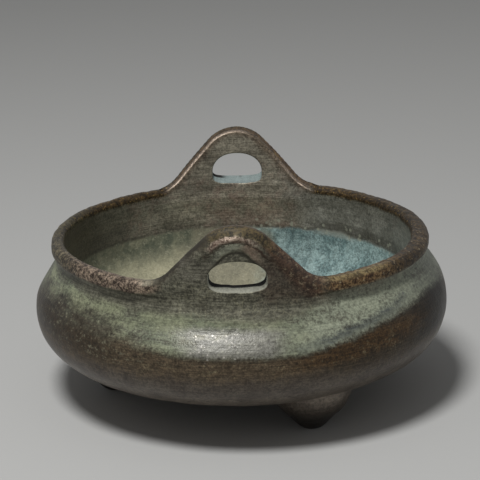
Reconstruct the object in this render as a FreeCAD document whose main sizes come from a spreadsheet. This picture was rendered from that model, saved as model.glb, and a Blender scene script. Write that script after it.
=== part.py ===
import FreeCAD
import Part
import math
import os
import Sketcher

# A copper incense burner: a low, wide-mouthed bowl on three teat feet, with two upright loop ears.
# The bowl, the ears and the feet are separate castings. Each ear is lapped into a notch in the lip
# and held by two pins, and each foot has a shank that goes through the bottom of the bowl.
# Frame: +Z up, origin on the bowl's axis at the ground. The ears stand at -Y (front) and +Y (back).

# Sizes in millimetres and degrees, each set once here.
SIZES = {
    # bowl, outside
    "rim_height": 53.0,
    "mouth_radius": 60.0,
    "lip_thickness": 5.0,
    "neck_recess": 1.8,
    "neck_depth": 5.0,
    "belly_radius": 66.0,
    "belly_depth": 23.0,
    "base_height": 8.0,
    "base_radius": 22.0,
    # bowl, inside
    "bottom_thickness": 6.5,
    "floor_radius": 20.0,
    "belly_wall": 11.0,
    "dish_drop": 15.0,
    "bore_depth": 10.0,
    # ears
    "ear_height": 18.8,
    "ear_half_width": 29.0,
    "ear_thickness": 4.8,
    "ear_reach": 5.4,
    "ear_crown_radius": 13.0,
    "ear_edge_radius": 1.4,
    # hole through each ear
    "finger_hole_width": 17.1,
    "finger_hole_height": 10.0,
    "finger_hole_drop": 1.0,
    "finger_hole_corner": 2.3,
    "finger_hole_edge": 0.6,
    # lap joint and pins of an ear
    "lap_height": 3.6,
    "pin_radius": 1.0,
    "pin_spread": 40.0,
    "fit_gap": 0.05,
    # feet
    "foot_circle": 41.5,
    "foot_first_angle": 60.0,
    "sole_radius": 3.3,
    "foot_top_radius": 13.0,
    "foot_top_height": 17.0,
    "shank_radius": 3.0,
    "shank_head_radius": 4.6,
    "shank_head_height": 5.0,
    "shank_head_rise": 2.5,
    # tools that cut run past the metal by this much
    "overrun": 3.0,
}

# Outline of the bowl's underside, from the edge of the flat base (0, 0) to the widest line (1, 1),
# as shares of the radius gained and of the height gained. Every other point lies inside an arc.
UNDERSIDE_SHARES = [(0.251, 0.049), (0.5, 0.127), (0.684, 0.239), (0.852, 0.427), (0.961, 0.678), (1.0, 1.0)]
# Outline of the shoulder, from the widest line (0, 0) in and up to the neck (1, 1).
SHOULDER_SHARES = [(0.055, 0.196), (0.218, 0.38), (0.516, 0.6), (0.859, 0.807), (0.971, 0.898), (1.0, 1.0)]
# Dish of the inside, from the edge of its flat middle (0, 0) out and up to the foot of the wall (1, 1).
DISH_SHARES = [(0.3, 0.05), (0.55, 0.15), (0.75, 0.3), (0.9, 0.52), (0.975, 0.76), (1.0, 1.0)]
# Flank of a foot, from the edge of the sole (0, 0) to the top of the foot (1, 1).
FOOT_SHARES = [(0.12, 0.06), (0.29, 0.17), (0.51, 0.3), (0.74, 0.44), (0.92, 0.66), (1.0, 1.0)]
# A 45 degree point of a quarter round, as a share of its radius.
QUARTER_SHARE = 0.7071
# Where the lip turns under into the neck: inwards from the edge and down, as shares of the lip's round.
LIP_UNDER_SHARES = (0.1, 1.44)
# The pins stand at this share of the way up the lap.
PIN_SHARE = 0.5
# The hollow beside the ear's flank has this radius, as a share of half the ear's width.
EAR_HOLLOW_SHARE = 0.42
# The ear's tongue takes this share of the neck's wall, and the bowl keeps the rest.
TONGUE_SHARE = 0.5

TOLERANCE = 1e-6
TURN = 360

document = FreeCAD.newDocument("incense_burner")
sheet = document.addObject("Spreadsheet::Sheet", "Sizes")
for row, (alias, value) in enumerate(SIZES.items(), start=1):
    sheet.set(f"A{row}", alias)
    sheet.set(f"B{row}", str(value))
    sheet.setAlias(f"B{row}", alias)
document.recompute()


def between(low, high, share):
    """Expression for the place a share of the way from one named place to another."""
    return f"({low} + ({high} - ({low})) * {share})"


# Places that several pieces share, as expressions on the named sizes.
RIM = "Sizes.rim_height"
NECK_RADIUS = "(Sizes.mouth_radius - Sizes.neck_recess)"
BORE_RADIUS = "(Sizes.mouth_radius - Sizes.lip_thickness)"
LIP_ROUND = "(Sizes.lip_thickness / 2)"
LIP_MIDDLE = f"(Sizes.mouth_radius - {LIP_ROUND})"
SEAT = f"({RIM} - Sizes.neck_depth)"
LAP_BOTTOM = f"({SEAT} - Sizes.lap_height)"
LAP_RADIUS = between(BORE_RADIUS, NECK_RADIUS, TONGUE_SHARE)
WIDEST = f"({RIM} - Sizes.belly_depth)"
EAR_RISE = "(Sizes.ear_height + Sizes.neck_depth)"
EAR_SPAN = "(2 * asin(Sizes.ear_half_width / Sizes.mouth_radius))"
GAP_TURN = "(2 * asin(Sizes.fit_gap / Sizes.mouth_radius))"


def reckon(expression):
    """Present value of an expression on the named sizes."""
    return float(sheet.evalExpression(expression.replace("Sizes.", "")))


def fix_point(sketch, geometry, end, place):
    """Tie one point of a sketch to its two expressions, or to an axis where the value is zero."""
    for kind, axis, expression in (("DistanceX", -2, place[0]), ("DistanceY", -1, place[1])):
        value = reckon(expression)
        if abs(value) < TOLERANCE:
            sketch.addConstraint(Sketcher.Constraint("PointOnObject", geometry, end, axis))
        else:
            index = sketch.addConstraint(Sketcher.Constraint(kind, -1, 1, geometry, end, value))
            sketch.setExpression(f"Constraints[{index}]", expression)


def spot(place):
    """Point in the sketch plane at two expressions."""
    return FreeCAD.Vector(reckon(place[0]), reckon(place[1]), 0)


def draw_outline(sketch, start, steps):
    """Closed outline: a step of one place is a line to it, a step of two is an arc through the first."""
    drawn = []
    here = start
    for step in steps:
        there = step[-1]
        if len(step) == 1:
            edge = sketch.addGeometry(Part.LineSegment(spot(here), spot(there)), False)
            drawn.append((edge, 1, 2))
        else:
            first, through, last = spot(here), spot(step[0]), spot(there)
            leftward = (through - first).cross(last - through).z > 0
            ends = (first, last) if leftward else (last, first)
            edge = sketch.addGeometry(Part.Arc(ends[0], through, ends[1]), False)
            mark = sketch.addGeometry(Part.Point(through), True)
            sketch.addConstraint(Sketcher.Constraint("PointOnObject", mark, 1, edge))
            fix_point(sketch, mark, 1, step[0])
            drawn.append((edge, 1, 2) if leftward else (edge, 2, 1))
        fix_point(sketch, drawn[-1][0], drawn[-1][1], here)
        here = there
    for (edge, _, end), (following, begin, _) in zip(drawn, drawn[1:] + drawn[:1]):
        sketch.addConstraint(Sketcher.Constraint("Coincident", edge, end, following, begin))


def new_body(name):
    """Empty body."""
    body = document.addObject("PartDesign::Body", name)
    body.Label = name
    return body


def new_sketch(body, name, plane):
    """Sketch on one of the body's own origin planes."""
    planes = {feature.Role: feature for feature in body.Origin.OriginFeatures}
    sketch = body.newObject("Sketcher::SketchObject", name)
    sketch.AttachmentSupport = [(planes[plane], "")]
    sketch.MapMode = "FlatFace"
    return sketch


def turned(body, name, sketch, span=None):
    """Revolution of a sketch about the upright axis: a full turn, or a span centred on the sketch."""
    feature = body.newObject("PartDesign::Revolution", name)
    feature.Profile = sketch
    feature.ReferenceAxis = (sketch, ["V_Axis"])
    feature.Angle = TURN
    if span:
        feature.Midplane = True
        feature.setExpression("Angle", span)
    document.recompute()
    return feature


def boolean(kind, name, base, tool):
    """Part workbench cut, common or fuse of two objects."""
    result = document.addObject(f"Part::{kind}", name)
    result.Base = base
    result.Tool = tool
    result.Label = name
    return result


def joined(name, shapes):
    """Several shapes in one, used as one tool."""
    result = document.addObject("Part::MultiFuse", name)
    result.Shapes = shapes
    return result


def rounded(body, name, base, radius, wanted):
    """Round over the edges of a feature for which wanted(edge) is true."""
    names = [f"Edge{number}" for number, edge in enumerate(base.Shape.Edges, start=1) if wanted(edge)]
    feature = body.newObject("PartDesign::Fillet", name)
    feature.Base = (base, names)
    feature.setExpression("Radius", radius)
    document.recompute()
    return feature


def climb(low, high, shares):
    """Steps of two places, the first inside an arc, that follow a table of shares between two corners."""
    places = [(between(low[0], high[0], across), between(low[1], high[1], up)) for across, up in shares]
    return list(zip(places[0::2], places[1::2]))


# The bowl: its outside as a filled form, and its hollow.
outside = new_body("bowl_outside")
outline = new_sketch(outside, "bowl_outline", "XZ_Plane")
base_edge = ("Sizes.base_radius", "Sizes.base_height")
widest_line = ("Sizes.belly_radius", WIDEST)
neck_line = (NECK_RADIUS, SEAT)
lip_outer = ("Sizes.mouth_radius", f"({RIM} - {LIP_ROUND})")
under_in, under_down = LIP_UNDER_SHARES
lip_under = (f"(Sizes.mouth_radius - {LIP_ROUND} * {under_in})", f"({RIM} - {LIP_ROUND} * {under_down})")
lip_top = (LIP_MIDDLE, RIM)
lip_inner = (BORE_RADIUS, f"({RIM} - {LIP_ROUND})")
lip_shoulder = f"({RIM} - {LIP_ROUND} * (1 - {QUARTER_SHARE}))"
lip_outer_round = (f"({LIP_MIDDLE} + {LIP_ROUND} * {QUARTER_SHARE})", lip_shoulder)
lip_inner_round = (f"({LIP_MIDDLE} - {LIP_ROUND} * {QUARTER_SHARE})", lip_shoulder)
steps = [(base_edge,)]
steps += climb(base_edge, widest_line, UNDERSIDE_SHARES)
steps += climb(widest_line, neck_line, SHOULDER_SHARES)
steps += [(lip_under,), (lip_outer,), (lip_outer_round, lip_top), (lip_inner_round, lip_inner)]
steps += [(("0", lip_inner[1]),), (("0", "Sizes.base_height"),)]
draw_outline(outline, ("0", "Sizes.base_height"), steps)
turned(outside, "bowl_turned", outline)

hollow = new_body("bowl_hollow")
outline = new_sketch(hollow, "hollow_outline", "XZ_Plane")
floor = "(Sizes.base_height + Sizes.bottom_thickness)"
floor_edge = ("Sizes.floor_radius", floor)
dish_edge = ("(Sizes.belly_radius - Sizes.belly_wall)", f"({RIM} - Sizes.dish_drop)")
above = f"({RIM} + Sizes.overrun)"
steps = [(floor_edge,)]
steps += climb(floor_edge, dish_edge, DISH_SHARES)
steps += [((BORE_RADIUS, f"({RIM} - Sizes.bore_depth)"),), ((BORE_RADIUS, above),)]
steps += [(("0", above),), (("0", floor),)]
draw_outline(outline, ("0", floor), steps)
turned(hollow, "hollow_turned", outline)
shell = boolean("Cut", "bowl_shell", outside, hollow)

# The ears. Each is made facing +X, then turned to its side of the bowl.
EAR_SIDES = {"front": -90, "back": 90}
EAR_TOP = f"({RIM} + Sizes.ear_height)"
OUTER_LEAN = f"(Sizes.ear_reach / {EAR_RISE})"
INNER_LEAN = f"(({NECK_RADIUS} + Sizes.ear_reach - Sizes.ear_thickness - {BORE_RADIUS}) / {EAR_RISE})"
STOCK_RISE = f"({EAR_RISE} + Sizes.overrun)"
TONGUE_RADIUS = f"({LAP_RADIUS} - Sizes.fit_gap)"
TONGUE_BOTTOM = f"({LAP_BOTTOM} + Sizes.fit_gap)"
SHOULDER = f"({SEAT} + Sizes.fit_gap)"
HOLLOW_RADIUS = f"(Sizes.ear_half_width * {EAR_HOLLOW_SHARE})"
PIN_HEIGHT = between(LAP_BOTTOM, SEAT, PIN_SHARE)
PIN_TURN = f"asin(Sizes.pin_spread / 2 / {NECK_RADIUS})"


def ear_waste_outline(sketch):
    """Waste above an ear: a round crown, two straight flanks and two hollows that die into the rim."""
    rim = reckon(RIM)
    half = reckon("Sizes.ear_half_width")
    margin = reckon("Sizes.overrun")
    crown = reckon("Sizes.ear_crown_radius")
    sweep = reckon(HOLLOW_RADIUS)
    top = reckon(EAR_TOP)
    bend = QUARTER_SHARE

    def point(x, y):
        return FreeCAD.Vector(x, y, 0)

    centre = point(0, top - crown)
    crown_arc = sketch.addGeometry(
        Part.Arc(point(crown * bend, centre.y + crown * bend), point(0, top),
                 point(-crown * bend, centre.y + crown * bend)), False)
    fix_point(sketch, crown_arc, 3, ("0", f"({EAR_TOP} - Sizes.ear_crown_radius)"))
    index = sketch.addConstraint(Sketcher.Constraint("Radius", crown_arc, crown))
    sketch.setExpression(f"Constraints[{index}]", "Sizes.ear_crown_radius")
    corners = []
    for side, crown_end in ((1, 1), (-1, 2)):
        sign = "" if side > 0 else "-"
        middle = point(side * half, rim + sweep)
        bottom = point(side * half, rim)
        high = point(side * (half - sweep * bend), rim + sweep * (1 - bend))
        inside = middle + (high + bottom - middle * 2).normalize() * sweep
        ends = (high, bottom) if side > 0 else (bottom, high)
        hollow_arc = sketch.addGeometry(Part.Arc(ends[0], inside, ends[1]), False)
        high_end, low_end = (1, 2) if side > 0 else (2, 1)
        fix_point(sketch, hollow_arc, 3, (f"{sign}Sizes.ear_half_width", f"({RIM} + {HOLLOW_RADIUS})"))
        fix_point(sketch, hollow_arc, low_end, (f"{sign}Sizes.ear_half_width", RIM))
        flank = sketch.addGeometry(
            Part.LineSegment(point(side * crown * bend, centre.y + crown * bend), high), False)
        sketch.addConstraint(Sketcher.Constraint("Tangent", flank, 1, crown_arc, crown_end))
        sketch.addConstraint(Sketcher.Constraint("Tangent", flank, 2, hollow_arc, high_end))
        far = point(side * (half + margin), rim)
        ledge = sketch.addGeometry(Part.LineSegment(bottom, far), False)
        sketch.addConstraint(Sketcher.Constraint("Coincident", ledge, 1, hollow_arc, low_end))
        fix_point(sketch, ledge, 2, (f"{sign}(Sizes.ear_half_width + Sizes.overrun)", RIM))
        wall = sketch.addGeometry(Part.LineSegment(far, point(far.x, top + 2 * margin)), False)
        sketch.addConstraint(Sketcher.Constraint("Coincident", wall, 1, ledge, 2))
        high_corner = (f"{sign}(Sizes.ear_half_width + Sizes.overrun)", f"({EAR_TOP} + 2 * Sizes.overrun)")
        fix_point(sketch, wall, 2, high_corner)
        corners.append(wall)
    lid_right = point(half + margin, top + 2 * margin)
    lid_left = point(-half - margin, top + 2 * margin)
    lid = sketch.addGeometry(Part.LineSegment(lid_right, lid_left), False)
    sketch.addConstraint(Sketcher.Constraint("Coincident", lid, 1, corners[0], 2))
    sketch.addConstraint(Sketcher.Constraint("Coincident", lid, 2, corners[1], 2))


def finger_hole_outline(sketch):
    """Finger hole: an arch that is more than half a circle, on a flat sill with rounded corners."""
    arch = "(Sizes.finger_hole_width / 2)"
    corner = "Sizes.finger_hole_corner"
    spring = f"(Sizes.finger_hole_height - {arch})"
    reach = f"({arch} - {corner})"
    sill_end = f"sqrt({reach} * {reach} - ({corner} - {spring}) * ({corner} - {spring}))"
    meet_across = f"({sill_end} * {arch} / {reach})"
    meet_up = f"({spring} + ({corner} - {spring}) * {arch} / {reach})"
    bend_across = f"({sill_end} + {corner} * {QUARTER_SHARE})"
    bend_up = f"({corner} * (1 - {QUARTER_SHARE}))"
    draw_outline(sketch, (f"-{sill_end}", "0"), [
        ((sill_end, "0"),),
        ((bend_across, bend_up), (meet_across, meet_up)),
        (("0", "Sizes.finger_hole_height"), (f"-{meet_across}", meet_up)),
        ((f"-{bend_across}", bend_up), (f"-{sill_end}", "0")),
    ])


def make_ear(side, azimuth):
    """One ear with its tongue, before its pin holes."""
    body = new_body(f"ear_{side}_casting")
    section = new_sketch(body, f"ear_{side}_section", "XZ_Plane")
    stock_top = f"({SEAT} + {STOCK_RISE})"
    draw_outline(section, (BORE_RADIUS, TONGUE_BOTTOM), [
        ((TONGUE_RADIUS, TONGUE_BOTTOM),),
        ((TONGUE_RADIUS, SHOULDER),),
        ((NECK_RADIUS, SHOULDER),),
        ((f"({NECK_RADIUS} + {OUTER_LEAN} * {STOCK_RISE})", stock_top),),
        ((f"({BORE_RADIUS} + {INNER_LEAN} * {STOCK_RISE})", stock_top),),
        ((BORE_RADIUS, SHOULDER),),
        ((BORE_RADIUS, TONGUE_BOTTOM),),
    ])
    turned(body, f"ear_{side}_stock", section, f"({EAR_SPAN} - {GAP_TURN})")

    waste = new_sketch(body, f"ear_{side}_waste", "YZ_Plane")
    ear_waste_outline(waste)
    trim = body.newObject("PartDesign::Pocket", f"ear_{side}_trim")
    trim.Profile = waste
    trim.Type = "ThroughAll"
    trim.Midplane = True
    document.recompute()

    hole = new_sketch(body, f"ear_{side}_hole", "YZ_Plane")
    hole.setExpression(
        "AttachmentOffset",
        f"placement(vector(0; {RIM} - Sizes.finger_hole_drop; {NECK_RADIUS});"
        f" rotation(vector(1; 0; 0); atan({OUTER_LEAN})))")
    finger_hole_outline(hole)
    pierce = body.newObject("PartDesign::Pocket", f"ear_{side}_pierce")
    pierce.Profile = hole
    pierce.Type = "ThroughAll"
    pierce.Midplane = True
    document.recompute()

    seat = reckon(SEAT) + 2 * reckon("Sizes.fit_gap")
    hole_half = reckon("Sizes.finger_hole_width / 2")
    hole_top = reckon(f"{RIM} + Sizes.finger_hole_height")
    end_turn = math.radians(reckon(f"({EAR_SPAN} - {GAP_TURN}) / 2"))
    half_thickness = reckon("Sizes.ear_thickness / 2")

    def middle(edge):
        return edge.valueAt((edge.FirstParameter + edge.LastParameter) / 2)

    def round_the_hole(edge):
        """The two rims of the finger hole, without the short edges from one to the other."""
        here = middle(edge)
        first, last = edge.Vertexes[0].Point, edge.Vertexes[-1].Point
        across = abs(first.x - last.x) > half_thickness
        return abs(here.y) < hole_half + TOLERANCE and seat < here.z < hole_top and not across

    def along_the_top(edge):
        """The two long edges over the crown and down both flanks, without those at the ear's ends."""
        here = middle(edge)
        turns = [abs(math.atan2(vertex.Y, vertex.X)) for vertex in edge.Vertexes]
        at_end = all(end_turn - turn < TOLERANCE for turn in turns)
        in_hole = abs(here.y) < hole_half + TOLERANCE and here.z < hole_top
        return here.z > reckon(RIM) - TOLERANCE and not at_end and not in_hole

    edged = rounded(body, f"ear_{side}_edges", pierce, "Sizes.ear_edge_radius", along_the_top)
    edged = rounded(body, f"ear_{side}_hole_edges", edged, "Sizes.finger_hole_edge", round_the_hole)
    body.Tip = edged
    body.Placement = FreeCAD.Placement(FreeCAD.Vector(), FreeCAD.Rotation(FreeCAD.Vector(0, 0, 1), azimuth))
    return body


def make_seat(side, azimuth):
    """Waste that one ear's notch and lap take out of the bowl."""
    body = new_body(f"seat_{side}_form")
    section = new_sketch(body, f"seat_{side}_section", "XZ_Plane")
    inner = f"({BORE_RADIUS} - Sizes.overrun)"
    outer = "(Sizes.mouth_radius + Sizes.overrun)"
    draw_outline(section, (inner, LAP_BOTTOM), [
        ((LAP_RADIUS, LAP_BOTTOM),),
        ((LAP_RADIUS, SEAT),),
        ((outer, SEAT),),
        ((outer, above),),
        ((inner, above),),
        ((inner, LAP_BOTTOM),),
    ])
    turned(body, f"seat_{side}_turned", section, EAR_SPAN)
    body.Placement = FreeCAD.Placement(FreeCAD.Vector(), FreeCAD.Rotation(FreeCAD.Vector(0, 0, 1), azimuth))
    return body


def radial_rod(name, azimuth, side, radius):
    """Rod from the bowl's axis outwards, at the height of the laps."""
    rod = document.addObject("Part::Cylinder", name)
    rod.setExpression("Radius", radius)
    rod.setExpression("Height", "Sizes.mouth_radius + Sizes.overrun")
    turn = f"{azimuth} deg + {side} * {PIN_TURN}"
    rod.setExpression("Placement", f"placement(vector(0; 0; {PIN_HEIGHT}); rotation({turn}; 90 deg; 0 deg))")
    return rod


PIECES = {}
bowl_tools = []
for side_name, side_azimuth in EAR_SIDES.items():
    bowl_tools.append(make_seat(side_name, side_azimuth))
    pin_holes = []
    for pin_name, pin_side in (("left", -1), ("right", 1)):
        label = f"ear_{side_name}_pin_{pin_name}"
        turn_sign = pin_side if side_name == "front" else -pin_side
        bored = "Sizes.pin_radius + Sizes.fit_gap"
        pin_holes.append(radial_rod(f"{label}_hole", side_azimuth, turn_sign, bored))
        rod = radial_rod(f"{label}_rod", side_azimuth, turn_sign, "Sizes.pin_radius")
        PIECES[label] = boolean("Common", label, rod, shell)
    pin_tool = joined(f"ear_{side_name}_pin_holes", pin_holes)
    bowl_tools.append(pin_tool)
    casting = make_ear(side_name, side_azimuth)
    PIECES[f"ear_{side_name}"] = boolean("Cut", f"ear_{side_name}", casting, pin_tool)

# The feet: a cast teat with a round shank, whose flared head fills a countersink inside the bowl.
FOOT_TURN = 120
FOOT_NAMES = ("back_right", "left", "front_right")


def place_foot(thing, azimuth, height="0"):
    """Stand a round piece at its place on the foot circle."""
    thing.setExpression(
        "Placement",
        f"placement(vector(Sizes.foot_circle * cos({azimuth}); Sizes.foot_circle * sin({azimuth}); {height});"
        f" rotation({azimuth}; 0 deg; 0 deg))")


def shank_with_head(name, azimuth, gap):
    """Shank of a foot from inside the teat up past the bowl's inner face, with its flared head."""
    head_foot = "(Sizes.base_height + Sizes.bottom_thickness + Sizes.shank_head_rise)"
    stem = document.addObject("Part::Cylinder", f"{name}_stem")
    stem.setExpression("Radius", f"Sizes.shank_radius + {gap}")
    stem.setExpression("Height", "Sizes.rim_height / 2 - Sizes.base_height / 2")
    place_foot(stem, azimuth, "Sizes.base_height / 2")
    head = document.addObject("Part::Cone", f"{name}_head")
    head.setExpression("Radius1", f"Sizes.shank_radius + {gap}")
    head.setExpression("Radius2", f"Sizes.shank_head_radius + {gap}")
    head.setExpression("Height", "Sizes.shank_head_height")
    place_foot(head, azimuth, head_foot)
    return joined(name, [stem, head])


for number, foot_name in enumerate(FOOT_NAMES):
    foot_azimuth = f"(Sizes.foot_first_angle * 1 deg + {number * FOOT_TURN} deg)"
    label = f"foot_{foot_name}"
    teat = new_body(f"{label}_teat")
    flank = new_sketch(teat, f"{label}_flank", "XZ_Plane")
    sole_edge = ("Sizes.sole_radius", "0")
    teat_top = ("Sizes.foot_top_radius", "Sizes.foot_top_height")
    steps = [(sole_edge,)] + climb(sole_edge, teat_top, FOOT_SHARES)
    steps += [(("0", "Sizes.foot_top_height"),), (("0", "0"),)]
    draw_outline(flank, ("0", "0"), steps)
    turned(teat, f"{label}_turned", flank)
    place_foot(teat, foot_azimuth)
    fitted = boolean("Cut", f"{label}_fitted", teat, outside)
    bowl_tools.append(shank_with_head(f"{label}_shank_hole", foot_azimuth, "Sizes.fit_gap"))
    shank = shank_with_head(f"{label}_shank", foot_azimuth, "0")
    peened = boolean("Cut", f"{label}_peened", shank, hollow)
    PIECES[label] = boolean("Fuse", label, fitted, peened)

PIECES["bowl_body"] = boolean("Cut", "bowl_body", shell, joined("bowl_tools", bowl_tools))
document.recompute()

# Every object has to be sound before anything is written.
for thing in document.Objects:
    if {"Invalid", "Error"} & set(thing.State):
        raise RuntimeError(f"{thing.Label} failed: {thing.State}")
for label, piece in PIECES.items():
    if piece.Shape.isNull() or not piece.Shape.isValid() or len(piece.Shape.Solids) != 1:
        raise RuntimeError(f"{label} is not one sound solid")

os.makedirs("parts", exist_ok=True)
for label, piece in PIECES.items():
    piece.Shape.exportStep(f"parts/{label}.step")
    box = piece.Shape.BoundBox
    print(f"{label}: volume {piece.Shape.Volume:.1f}, z {box.ZMin:.2f} to {box.ZMax:.2f}")
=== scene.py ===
import bmesh
import bpy
import numpy as np
from mathutils import Matrix, Vector


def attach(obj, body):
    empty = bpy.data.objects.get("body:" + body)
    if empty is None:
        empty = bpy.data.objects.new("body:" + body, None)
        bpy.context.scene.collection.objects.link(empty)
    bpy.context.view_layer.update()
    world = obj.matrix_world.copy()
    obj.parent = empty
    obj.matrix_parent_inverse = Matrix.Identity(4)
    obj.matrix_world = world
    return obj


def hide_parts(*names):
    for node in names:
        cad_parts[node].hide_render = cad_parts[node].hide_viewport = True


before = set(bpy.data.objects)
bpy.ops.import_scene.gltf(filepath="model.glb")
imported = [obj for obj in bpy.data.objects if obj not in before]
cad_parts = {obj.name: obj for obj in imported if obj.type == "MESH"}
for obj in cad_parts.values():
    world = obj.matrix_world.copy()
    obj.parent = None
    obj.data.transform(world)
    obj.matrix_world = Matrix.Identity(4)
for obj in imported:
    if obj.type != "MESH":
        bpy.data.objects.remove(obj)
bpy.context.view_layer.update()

# The studio: the burner stands on a wide sheet of pale board, and the camera looks down on it through
# a long lens. One lamp stands high in front on the left, and the room fills the shadows.
# Lengths in the file are millimetres, and they become metres where they go into Blender.
METRE = 0.001
CAMERA_PLACE = (0, -550.62, 215.50)
CAMERA_TILT = 73.19
CAMERA_ROLL = -1.29
LENS = 135
SENSOR = 36
FARTHEST_SEEN = 20000
LAMP_DIRECTION = Vector((-0.200, -0.416, 0.887))
LAMP_AIM = Vector((0, 0, 35))
LAMP_DISTANCE = 1000
LAMP_WIDTH = 260
LAMP_WATTS = 8.2
ROOM_FILL = 0.2
BOARD_HALF = 3000

camera = bpy.data.objects.new("camera", bpy.data.cameras.new("camera"))
camera.data.lens = LENS
camera.data.sensor_width = SENSOR
camera.data.clip_end = FARTHEST_SEEN * METRE
camera.matrix_world = (Matrix.Translation(Vector(CAMERA_PLACE) * METRE)
                       @ Matrix.Rotation(np.radians(CAMERA_TILT), 4, "X")
                       @ Matrix.Rotation(np.radians(CAMERA_ROLL), 4, "Z"))
bpy.context.collection.objects.link(camera)
bpy.context.scene.camera = camera
bpy.context.scene.view_settings.view_transform = "Standard"

lamp = bpy.data.objects.new("lamp", bpy.data.lights.new("lamp", "AREA"))
lamp.data.shape = "DISK"
lamp.data.size = LAMP_WIDTH * METRE
lamp.data.energy = LAMP_WATTS
lamp.matrix_world = (Matrix.Translation((LAMP_AIM + LAMP_DIRECTION * LAMP_DISTANCE) * METRE)
                     @ LAMP_DIRECTION.to_track_quat("Z", "Y").to_matrix().to_4x4())
bpy.context.collection.objects.link(lamp)


class Shade:
    """Output of one node of a material or world. Python sums on it add Math nodes there."""

    def __init__(self, tree, socket=None):
        self.tree = tree
        self.socket = socket

    def node(self, kind, out=0, sockets=None, **settings):
        """Add a node: first its settings, then the values or links of its sockets."""
        made = self.tree.nodes.new("ShaderNode" + kind)
        for name, value in settings.items():
            setattr(made, name, value)
        for name, value in (sockets or {}).items():
            if isinstance(value, Shade):
                self.tree.links.new(value.socket, made.inputs[name])
            else:
                made.inputs[name].default_value = value
        return Shade(self.tree, made.outputs[out] if made.outputs else None)

    def maths(self, operation, *terms):
        return self.node("Math", operation=operation, sockets=dict(enumerate(terms)))

    def __add__(self, other):
        return self.maths("ADD", self, other)

    def __sub__(self, other):
        return self.maths("SUBTRACT", self, other)

    def __rsub__(self, other):
        return self.maths("SUBTRACT", other, self)

    def __mul__(self, other):
        return self.maths("MULTIPLY", self, other)

    def __abs__(self):
        return self.maths("ABSOLUTE", self)

    __radd__ = __add__
    __rmul__ = __mul__


def colour(red, green, blue):
    """Colour as it is read off a screen, 0 to 255, in the straight-line scale that shaders use."""
    share = np.array([red, green, blue]) / 255
    straight = np.where(share <= 0.04045, share / 12.92, ((share + 0.055) / 1.055) ** 2.4)
    return (*straight.tolist(), 1.0)


def eased(value, low, high):
    """Mask that climbs smoothly from 0 where the value is low to 1 where it is high."""
    return value.node("MapRange", interpolation_type="SMOOTHSTEP",
                      sockets={"Value": value, "From Min": low, "From Max": high})


def blend(mask, under, over):
    """Colour that goes from one to another as the mask goes from 0 to 1. Each is a shade, or red, green
    and blue as they are read off a screen. A Mix node's colour sockets are numbers 6 and 7."""
    under, over = [tone if isinstance(tone, Shade) else colour(*tone) for tone in (under, over)]
    return mask.node("Mix", out=2, data_type="RGBA", sockets={0: mask, 6: under, 7: over})


def mesh_object(name, mesh, material):
    """Object of a finished mesh with one material."""
    thing = bpy.data.objects.new(name, mesh)
    thing.data.materials.append(material)
    bpy.context.collection.objects.link(thing)
    return thing


board_paint = bpy.data.materials.new("pale_board")
board_paint.use_nodes = True
paint = board_paint.node_tree.nodes["Principled BSDF"]
paint.inputs["Base Color"].default_value = colour(186, 186, 184)
paint.inputs["Roughness"].default_value = 0.9
paint.inputs["Specular IOR Level"].default_value = 0.1
board = bpy.data.meshes.new("board")
reach = BOARD_HALF * METRE
board.from_pydata([(-reach, -reach, 0), (reach, -reach, 0), (reach, reach, 0), (-reach, reach, 0)],
                  [], [(0, 1, 2, 3)])
mesh_object("board", board, board_paint)

room = bpy.data.worlds.new("room")
room.use_nodes = True
room.node_tree.nodes.clear()
air = Shade(room.node_tree)
seen = air.node("LightPath", out="Is Camera Ray")
seen = seen.maths("MAXIMUM", seen, air.node("LightPath", out="Is Glossy Ray"))
seen = seen.maths("MAXIMUM", seen, air.node("LightPath", out="Is Transmission Ray"))
fill = air.node("Background", sockets={"Color": (1, 1, 1, 1), "Strength": ROOM_FILL})
backdrop = air.node("Background", sockets={"Color": colour(176, 177, 178), "Strength": 1.0})
air.node("OutputWorld", sockets={"Surface": air.node("MixShader", sockets={0: seen, 1: fill, 2: backdrop})})
bpy.context.scene.world = room

# The bowl is one hollow casting in copper alloy: a low round belly, a short neck that steps in and a
# thick rounded lip, with a straight wall inside over a dished floor. On both sides the lip is notched
# down to the neck for an ear. The skin is an old patina, worn on the lip and crusted below.
MOUTH_RADIUS = 60.0
BORE_RADIUS = 55.0
NECK_RADIUS = 58.2
NECK_STEP = 1.8
STEP_HEIGHT = 1.0
SEAT = 48.0
RIM = 53.0
NOTCH_TURN = np.radians(28.9)
ARC_RADIUS = 57.0
EAR_TOP = 71.65
EAR_HALF = 29.0
CROWN_RADIUS = 13.0
HOLLOW_RADIUS = 12.18
EAR_CENTRES = {"front": -1.3, "back": -0.7}
OUTER_LEAN = 0.2269
INNER_LEAN = 0.1597
LIP_ROUNDS = (2.3, 1.7)
EAR_OUTER_ROUND = {"front": 2.2, "back": 1.2}
EAR_INNER_ROUND = 0.8
# radius and height, from the middle of the base up to the neck, and from the bore in to the middle
OUTSIDE = [(0, 8.05), (11, 8.05), (22, 8.1), (33.04, 9.08), (44, 10.79), (52.1, 13.26), (59.5, 17.39),
           (64.2, 22.9), (65.8, 30), (65.4, 33.53), (64.2, 36.84), (61.98, 40.8), (59.3, 44.53),
           (58.43, 46.16), (58.2, 48)]
INSIDE = [(55, 48), (55, 38), (54.1, 32.4), (51.5, 26.7), (46.2, 21.6), (39.2, 18.0), (30.5, 15.7),
          (20, 14.5), (10, 14.45), (0, 14.45)]
# lumps in the cast skin: height, how much more on the lip, size and seed
LUMPS = [(0.13, 0, 15.0, 11), (0.07, 0, 5.2, 21), (0.02, 0.11, 2.1, 31)]
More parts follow.
